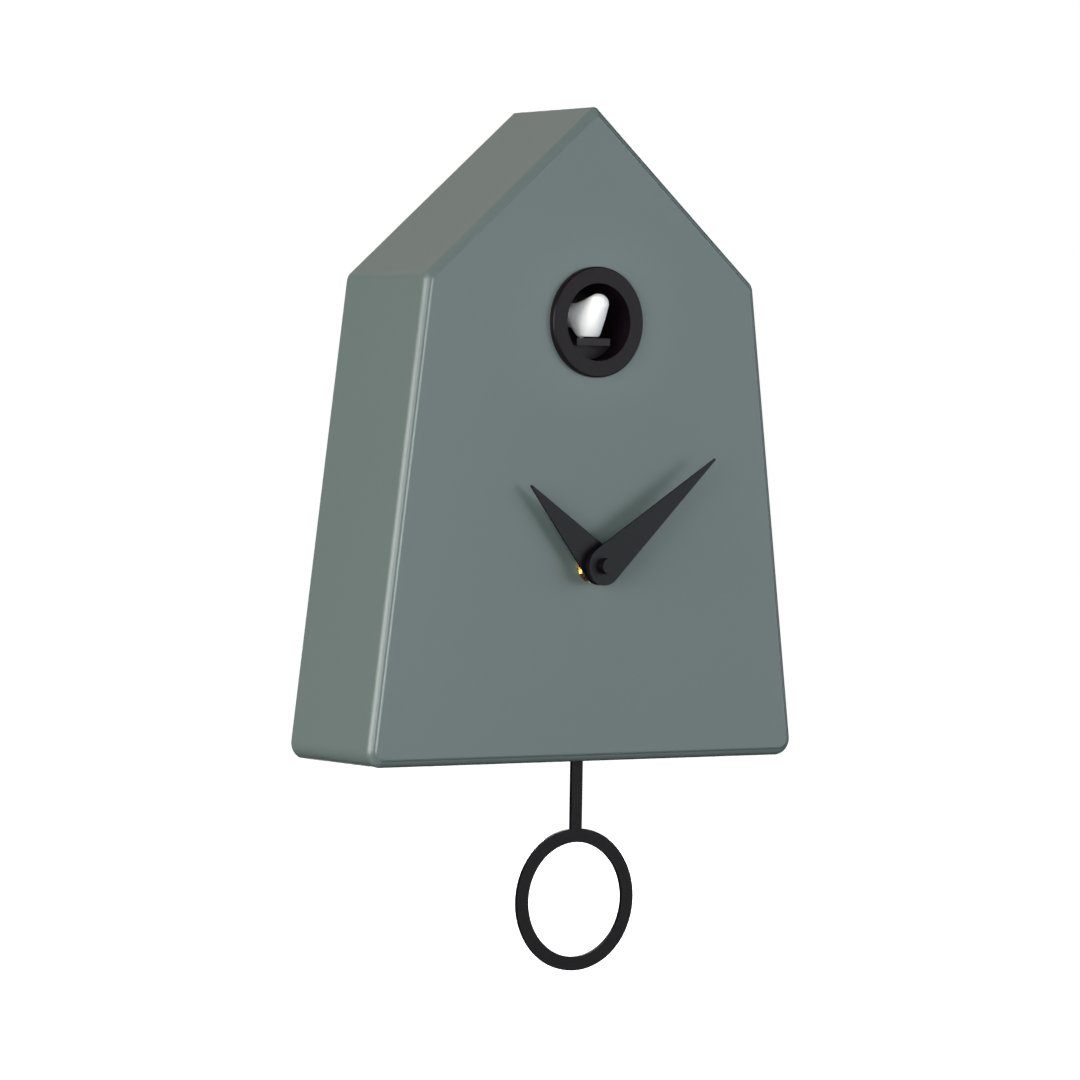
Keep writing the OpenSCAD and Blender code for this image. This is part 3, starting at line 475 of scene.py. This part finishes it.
def caseOutline(shape, inset, steps, floorZ):
    # the house shape, drawn in by inset; steps 0 leaves its corners sharp
    half, eave = shape["width"] / 2, shape["eaveWidth"] / 2
    spots = [(half, 0, shape["bottomRadius"]), (eave, shape["eaveHeight"], shape["eaveRadius"]),
             (0, shape["apexHeight"], shape["apexRadius"]), (-eave, shape["eaveHeight"], shape["eaveRadius"]),
             (-half, 0, shape["bottomRadius"])]
    outline = []
    for i, (x, z, radius) in enumerate(spots):
        here = Vector((x, z))
        before = (Vector(spots[i - 1][:2]) - here).normalized()
        after = (Vector(spots[(i + 1) % len(spots)][:2]) - here).normalized()
        halfAngle = before.angle(after) / 2
        inward = (before + after).normalized()
        corner = here + inward * inset / math.sin(halfAngle)
        if not steps:
            outline.append(corner)
            continue
        radius = max(radius - inset, shape["leastRadius"])
        centre = corner + inward * radius / math.sin(halfAngle)
        reach = radius / math.tan(halfAngle)
        start, end = corner + before * reach - centre, corner + after * reach - centre
        a = math.atan2(start.y, start.x)
        sweep = (math.atan2(end.y, end.x) - a + math.pi) % (2 * math.pi) - math.pi
        for k in range(steps + 1):
            t = a + sweep * k / steps
            outline.append(centre + radius * Vector((math.cos(t), math.sin(t))))
    return [(p.x, p.y + floorZ) for p in outline]


def caseRings(shape, frontY, backY, floorZ):
    def ring(inset, y):
        return layRing(caseOutline(shape, inset, shape["cornerSteps"], floorZ), y)

    turn, lip = math.radians(shape["edgeTurn"]), math.radians(shape["shoulderTurn"])
    edge, shoulder, back = shape["edge"], shape["shoulder"], shape["backEdge"]
    crest = edge * (1 - math.cos(turn)) + shoulder * math.sin(lip)
    rings = [ring(crest + shape["dialRim"], frontY)]
    for k in range(shape["shoulderSteps"] + 1):
        t = lip * k / shape["shoulderSteps"]
        rings.append(ring(crest - shoulder * math.sin(t), frontY + shoulder * (1 - math.cos(t))))
    drop = shoulder * (1 - math.cos(lip))
    for k in range(1, shape["edgeSteps"] + 1):
        t = turn * (1 - k / shape["edgeSteps"])
        rings.append(ring(edge * (1 - math.cos(t)), frontY + drop + edge * (math.sin(turn) - math.sin(t))))
    for k in range(shape["backSteps"] + 1):
        t = math.pi / 2 * k / shape["backSteps"]
        rings.append(ring(back * (1 - math.cos(t)), backY - back * (1 - math.sin(t))))
    return rings


def caseTools(shape, frontY, backY, floorZ):
    innerY, past = frontY + shape["front"], shape["cutPast"]
    port, hub, sensor = middle("bezel"), middle("threaded_bushing"), middle("light_sensor")
    halfSlot = shape["slotWidth"] / 2
    hollow = caseOutline(shape, shape["wall"], 0, floorZ)
    rebate = caseOutline(shape, shape["rebate"], 0, floorZ)
    bore = bmesh.new()
    bmesh.ops.create_cone(bore, cap_ends=True, segments=shape["sensorSteps"], radius1=shape["sensorRadius"],
                          radius2=shape["sensorRadius"], depth=shape["sensorBore"],
                          matrix=Matrix.Translation((sensor[0], sensor[1], floorZ)))
    return [
        cutter("cavityTool", stackRings([layRing(hollow, innerY), layRing(hollow, backY + past)])),
        cutter("rebateTool", stackRings([layRing(rebate, backY - shape["rebateDepth"]),
                                         layRing(rebate, backY + past)])),
        cutter("portTool", roundBar((port[0], port[2]), shape["portRadius"], frontY - past, innerY + past,
                                    shape["portSteps"])),
        cutter("shaftTool", roundBar((hub[0], hub[2]), shape["shaftRadius"], frontY - past, innerY + past,
                                     shape["shaftSteps"])),
        cutter("slotTool", blockBetween(
            (-halfSlot, innerY, floorZ - past),
            (halfSlot, innerY + shape["slotDepth"], floorZ + shape["wall"] + shape["slotClear"]))),
        cutter("sensorTool", bore),
    ]


def buildCase(shape):
    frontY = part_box("front_board")[0][1]
    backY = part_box("left_wall")[1][1]
    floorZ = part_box("base_board")[0][2]
    shell = addPiece("caseShell", stackRings(caseRings(shape, frontY, backY, floorZ)), "sage_lacquer", "case")
    cutAway(shell, caseTools(shape, frontY, backY, floorZ))
    smoothPiece(shell, shape["smoothAngle"])
    softenEdges(shell, "soften", shape["softWidth"], shape["softSegments"], shape["softAngle"])
    evenOut = shell.modifiers.new("evenOut", "WEIGHTED_NORMAL")
    evenOut.keep_sharp = True
    evenOut.weight = 100
    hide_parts("front_board", "left_wall", "right_wall", "left_roof", "right_roof", "base_board")


buildCase(caseShape)
print("case shell built")

birdShape = {
    # each lump: depth behind the dial and height above the deck, then its radii across, along and up, in mm
    "lumps": {
        "head": (-2.1, 13.5, 4.4, 4.4, 4.3),
        "nape": (1.6, 11.9, 4.8, 4.8, 4.7),
        "breast": (1.4, 8.6, 5.2, 5.3, 5.0),
        "foot": (4.8, 0.9, 5.2, 4.6, 1.9),
        "belly": (4.8, 6.6, 6.2, 6.4, 6.5),
        "back": (10.4, 8.7, 6.2, 6.2, 5.5),
        "rear": (19.4, 9.0, 5.0, 5.0, 4.9),
    },
    # the lumps under each stretch of skin
    "skins": [("head", "breast", "foot"), ("head", "nape", "breast", "belly"),
              ("nape", "belly", "foot", "back"), ("back", "rear")],
    "fineness": 4, "grain": 0.42 * mm, "relax": 0.6, "smoothing": 14, "smoothAngle": 60,
}


def stretchSkin(shape, skin, frontY, deckTop):
    # one tight skin over a few lumps
    bm = bmesh.new()
    for lump in skin:
        y, z, rx, ry, rz = shape["lumps"][lump]
        at = Matrix.Translation((0, frontY + y * mm, deckTop + z * mm))
        bmesh.ops.create_icosphere(bm, subdivisions=shape["fineness"], radius=1.0,
                                   matrix=at @ Matrix.Diagonal((rx * mm, ry * mm, rz * mm, 1)))
    hull = bmesh.ops.convex_hull(bm, input=bm.verts)
    tight = set(hull["geom"])
    buried = {v for v in hull["geom_interior"] + hull["geom_unused"] if isinstance(v, bmesh.types.BMVert)}
    bmesh.ops.delete(bm, geom=list(buried), context="VERTS")
    doubled = [f for f in bm.faces if f not in tight and any(len(e.link_faces) > 2 for e in f.edges)]
    bmesh.ops.delete(bm, geom=doubled, context="FACES_ONLY")
    return bm


def buildBird(shape):
    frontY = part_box("front_board")[0][1]
    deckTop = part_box("bird")[0][2]
    whole = bmesh.new()
    for skin in shape["skins"]:
        part = stretchSkin(shape, skin, frontY, deckTop)
        held = bpy.data.meshes.new("skin")
        part.to_mesh(held)
        part.free()
        whole.from_mesh(held)
        bpy.data.meshes.remove(held)
    bird = addPiece("birdBody", whole, "white_bird", "bird_deck")
    blendIn = bird.modifiers.new("blendIn", "REMESH")
    blendIn.mode = "VOXEL"
    blendIn.voxel_size = shape["grain"]
    relax = bird.modifiers.new("relax", "SMOOTH")
    relax.factor = shape["relax"]
    relax.iterations = shape["smoothing"]
    freeze(bird)
    bm = bmesh.new()
    bm.from_mesh(bird.data)
    bmesh.ops.bisect_plane(bm, geom=bm.verts[:] + bm.edges[:] + bm.faces[:], dist=0.001 * mm,
                           plane_co=(0, 0, deckTop), plane_no=(0, 0, -1), clear_outer=True)
    bmesh.ops.edgeloop_fill(bm, edges=[e for e in bm.edges if e.is_boundary])    # the flat foot on the deck
    bm.to_mesh(bird.data)
    bm.free()
    bird.data.materials.clear()
    bird.data.materials.append(finishes["white_bird"])
    smoothPiece(bird, shape["smoothAngle"])
    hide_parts("bird")


buildBird(birdShape)
print("bird built")

pieceEdges = {
    "segments": 3, "angle": 35,
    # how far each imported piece's edges are rounded, in mm
    "widths": {
        "bezel": 0.45, "bezel_lock_ring": 0.25, "hour_hand": 0.12, "minute_hand": 0.12, "hand_cap": 0.25,
        "dial_nut": 0.6, "dial_washer": 0.2, "threaded_bushing": 0.15, "pendulum": 0.18,
        "bird_carriage": 0.22, "cuckoo_frame": 0.3, "gear_motor": 0.3,
        "movement_rear_shell": 0.5, "movement_front_shell": 0.5, "movement_battery": 0.6, "setting_knob": 0.3,
        "battery_tray": 0.4, "battery_door": 0.3, "sound_batteries": 0.6,
        "sound_board": 0.12, "board_posts": 0.2, "volume_knob": 0.35, "mode_slider": 0.25,
        "speaker_magnet": 0.4, "back_panel": 0.25, "hanger_plate": 0.12, "glue_blocks": 0.3,
    },
}
slotOf = {entry["node"]: entry["material_slot"] for entry in frame["record"]["subparts"]}
for name, node in frame["nodes"].items():
    if node.type != "MESH":
        continue
    node.data.materials.clear()
    node.data.materials.append(finishes[slotOf[name]])
    width = pieceEdges["widths"].get(name)
    if width:
        softenEdges(node, "edges", width * mm, pieceEdges["segments"], pieceEdges["angle"])
print("packed pieces finished:", len(frame["nodes"]))

studio = {
    "floorDrop": 0.16, "floorSize": 16.0, "floorCells": 8,
    "floorGlow": 1.0, "floorPaint": (0.93, 0.93, 0.925),
    "backdrop": 1.0, "airLow": 0.01, "airHigh": 0.05, "airFrom": (0.48, -0.74, 0.47),
    "airSpan": (-0.25, 1.0), "airColour": (0.93, 0.98, 1.0, 1),
    "aim": (0, -0.03, -0.12),
    # each lamp: degrees left of straight ahead, degrees up, distance, width, height, light, colour
    "lamps": {
        "leftPanel": (59, 2, 2.0, 0.7, 1.1, 21.0, (1.0, 1.0, 0.98)),
        "sidePanel": (82, 2, 2.0, 0.8, 1.1, 23.5, (1.04, 0.99, 0.94)),
        "windowPanel": (-32, 4, 2.2, 1.7, 1.7, 9.5, (0.94, 0.99, 1.05)),
        "windowStrip": (-24, 0, 2.2, 0.16, 1.8, 3.0, (0.94, 0.99, 1.05)),
        "rightPanel": (-62, 6, 2.2, 1.4, 1.4, 11.0, (0.94, 0.99, 1.05)),
        "frontPanel": (30, 3, 2.4, 0.9, 0.9, 17.0, (0.97, 1.0, 1.03)),
        "backPanel": (108, 8, 2.0, 0.8, 1.4, 4.0, (1.12, 1.0, 0.92)),
        "skyPanel": (180, 50, 4.0, 4.0, 3.0, 21.0, (1.08, 1.0, 0.95)),
        "rearPanel": (-155, 0, 2.4, 1.8, 1.8, 55.0, (1.0, 1.0, 1.0)),
    },
    # a narrow beam into the porthole: degrees left, degrees up, distance, degrees wide, light
    "portBeam": (34, 1, 2.0, 1.0, 90.0),
    "beamFade": 0.35, "beamBulb": 0.03,
}


def buildFloor(settings):
    low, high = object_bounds()
    z = low[2] - settings["floorDrop"]
    bm = bmesh.new()
    bmesh.ops.create_grid(bm, x_segments=settings["floorCells"], y_segments=settings["floorCells"],
                          size=settings["floorSize"] / 2, matrix=Matrix.Translation((0, 0, z)))
    mesh = bpy.data.meshes.new("floor")
    bm.to_mesh(mesh)
    bm.free()
    floor = bpy.data.objects.new("floor", mesh)
    scene.collection.objects.link(floor)
    paint, shader, nodes, links = newFinish("floorPaint", settings["floorPaint"], 0.9, specular=0.1)
    shader.inputs["Emission Color"].default_value = (1, 1, 1, 1)
    shader.inputs["Emission Strength"].default_value = settings["floorGlow"]
    mesh.materials.append(paint)
    floor.visible_diffuse = False               # the glowing floor lights nothing and shows in no gloss
    floor.visible_glossy = False
    floor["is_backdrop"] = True


def standLamp(name, lamp, left, up, far, aim):
    left, up = math.radians(left), math.radians(up)
    away = Vector((-math.sin(left) * math.cos(up), -math.cos(left) * math.cos(up), math.sin(up)))
    stand = bpy.data.objects.new(name, lamp)
    scene.collection.objects.link(stand)
    stand.location = Vector(aim) + away * far
    stand.rotation_euler = (-away).to_track_quat("-Z", "Y").to_euler()


def addPanel(name, look, aim):
    left, up, far, width, height, light, colour = look
    lamp = bpy.data.lights.new(name, "AREA")
    lamp.shape = "RECTANGLE"
    lamp.size = width
    lamp.size_y = height
    lamp.energy = light
    lamp.color = colour
    standLamp(name, lamp, left, up, far, aim)


def addBeam(name, settings, aim):
    left, up, far, wide, light = settings[name]
    lamp = bpy.data.lights.new(name, "SPOT")
    lamp.energy = light
    lamp.spot_size = math.radians(wide)
    lamp.spot_blend = settings["beamFade"]
    lamp.shadow_soft_size = settings["beamBulb"]
    standLamp(name, lamp, left, up, far, aim)


def fillAir(settings):
    air = bpy.data.worlds.new("studioAir")
    scene.world = air
    air.use_nodes = True
    nodes, links = air.node_tree.nodes, air.node_tree.links
    nodes.clear()
    seen = nodes.new("ShaderNodeBackground")
    seen.inputs["Color"].default_value = (1, 1, 1, 1)
    seen.inputs["Strength"].default_value = settings["backdrop"]
    # the room is brightest ahead and to the right, and dark behind and below
    ways = nodes.new("ShaderNodeTexCoord")
    facing = nodes.new("ShaderNodeVectorMath")
    facing.operation = "DOT_PRODUCT"
    facing.inputs[1].default_value = settings["airFrom"]
    links.new(ways.outputs["Generated"], facing.inputs[0])
    glow = spread(nodes, links, facing.outputs["Value"], settings["airLow"], settings["airHigh"],
                  *settings["airSpan"])
    ambient = nodes.new("ShaderNodeBackground")
    ambient.inputs["Color"].default_value = settings["airColour"]
    links.new(glow, ambient.inputs["Strength"])
    ray = nodes.new("ShaderNodeLightPath")
    choose = nodes.new("ShaderNodeMixShader")
    airOut = nodes.new("ShaderNodeOutputWorld")
    links.new(ray.outputs["Is Camera Ray"], choose.inputs["Fac"])
    links.new(ambient.outputs["Background"], choose.inputs[1])
    links.new(seen.outputs["Background"], choose.inputs[2])
    links.new(choose.outputs["Shader"], airOut.inputs["Surface"])


buildFloor(studio)
for lampName, look in studio["lamps"].items():
    addPanel(lampName, look, studio["aim"])
portX, _, portZ = middle("bezel")
addBeam("portBeam", studio, (portX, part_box("bezel")[0][1], portZ))
fillAir(studio)
scene.view_settings.view_transform = "Standard"
print("studio lit")
